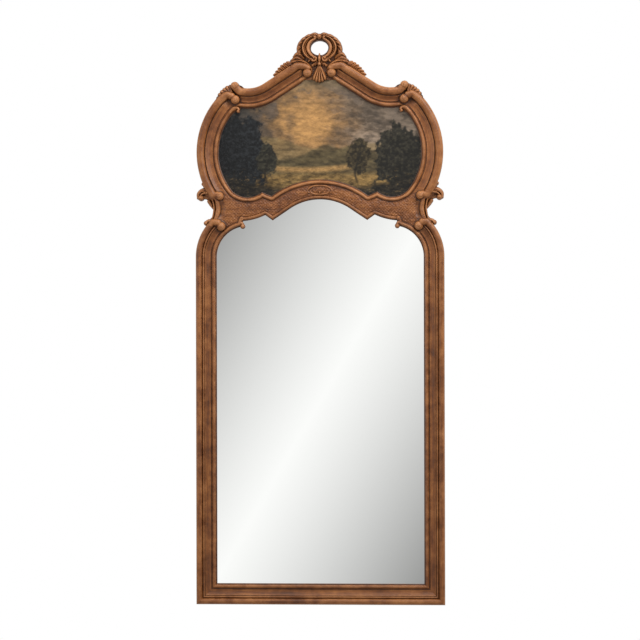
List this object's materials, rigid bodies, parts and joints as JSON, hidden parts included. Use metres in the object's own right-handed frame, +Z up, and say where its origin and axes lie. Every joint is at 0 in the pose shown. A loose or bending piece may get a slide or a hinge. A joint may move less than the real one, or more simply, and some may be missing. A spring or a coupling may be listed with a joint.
{
  "type": "trumeau mirror",
  "caption": "Tall carved oak wall mirror with a painted panel over the plate, a pierced crest, removable backboards and swinging hanger rings.",
  "frame": {"origin": "on the wall plane, at the middle of the frame's bottom edge", "axes": "+Z up, +X to the viewer's right, -Y out of the wall towards the viewer"},
  "size_m": [0.782, 0.054, 1.7968],
  "materials": {
    "oak": "waxed, worn",
    "beech": "bare",
    "pine": "bare, aged",
    "mirror_silver": "silvered",
    "painted_canvas": "varnished paint",
    "pad_leather": "plain",
    "brass_screw": "tarnished",
    "brass_button": "tarnished",
    "iron_hanger": "dark wrought iron"
  },
  "bodies": {
    "frame": {"backboard_1": "pine", "backboard_2": "pine", "backboard_3": "pine", "backboard_4": "pine", "backboard_screws": "brass_screw", "bottom_plate_bead": "pine", "bottom_rail": "oak", "crest": "oak", "hanger_screws": "brass_screw", "left_corner_block": "oak", "left_corner_side_dowel": "beech", "left_corner_top_dowel": "beech", "left_crest_dowel": "beech", "left_crest_spray": "oak", "left_hanger_strap": "iron_hanger", "left_head_side": "oak", "left_head_top": "oak", "left_mitre_key": "beech", "left_picture_batten": "pine", "left_plate_bead": "pine", "left_plate_pad": "pad_leather", "left_stile": "oak", "left_waist_head_dowel": "beech", "left_waist_scroll": "oak", "left_waist_stile_dowel": "beech", "middle_rail": "oak", "mirror_plate": "mirror_silver", "picture_board_lower": "pine", "picture_board_upper": "pine", "picture_canvas": "painted_canvas", "right_corner_block": "oak", "right_corner_side_dowel": "beech", "right_corner_top_dowel": "beech", "right_crest_dowel": "beech", "right_crest_spray": "oak", "right_hanger_strap": "iron_hanger", "right_head_side": "oak", "right_head_top": "oak", "right_mitre_key": "beech", "right_picture_batten": "pine", "right_plate_bead": "pine", "right_plate_pad": "pad_leather", "right_stile": "oak", "right_waist_head_dowel": "beech", "right_waist_scroll": "oak", "right_waist_stile_dowel": "beech", "turn_button_screws": "brass_screw"},
    "left_upper_turn_button": {"left_upper_turn_button": "brass_button"},
    "left_lower_turn_button": {"left_lower_turn_button": "brass_button"},
    "right_upper_turn_button": {"right_upper_turn_button": "brass_button"},
    "right_lower_turn_button": {"right_lower_turn_button": "brass_button"},
    "left_hanger_ring": {"left_hanger_ring": "iron_hanger"},
    "right_hanger_ring": {"right_hanger_ring": "iron_hanger"}
  },
  "joints": [
    {"name": "left_ring_swing", "type": "hinge", "parent": "frame", "child": "left_hanger_ring", "pos_m": [-0.3715, -0.0051, 1.01], "axis": [1, 0, 0], "range_deg": [0, 180]},
    {"name": "left_upper_button_turn", "type": "hinge", "parent": "frame", "child": "left_upper_turn_button", "pos_m": [-0.32583, -0.011, 1.49382], "axis": [0, 1, 0], "range_deg": [-90, 90]},
    {"name": "left_lower_button_turn", "type": "hinge", "parent": "frame", "child": "left_lower_turn_button", "pos_m": [-0.32583, -0.011, 1.35018], "axis": [0, 1, 0], "range_deg": [-90, 90]},
    {"name": "right_ring_swing", "type": "hinge", "parent": "frame", "child": "right_hanger_ring", "pos_m": [0.3715, -0.0051, 1.01], "axis": [1, 0, 0], "range_deg": [0, 180]},
    {"name": "right_upper_button_turn", "type": "hinge", "parent": "frame", "child": "right_upper_turn_button", "pos_m": [0.32583, -0.011, 1.49382], "axis": [0, 1, 0], "range_deg": [-90, 90]},
    {"name": "right_lower_button_turn", "type": "hinge", "parent": "frame", "child": "right_lower_turn_button", "pos_m": [0.32583, -0.011, 1.35018], "axis": [0, 1, 0], "range_deg": [-90, 90]}
  ]
}
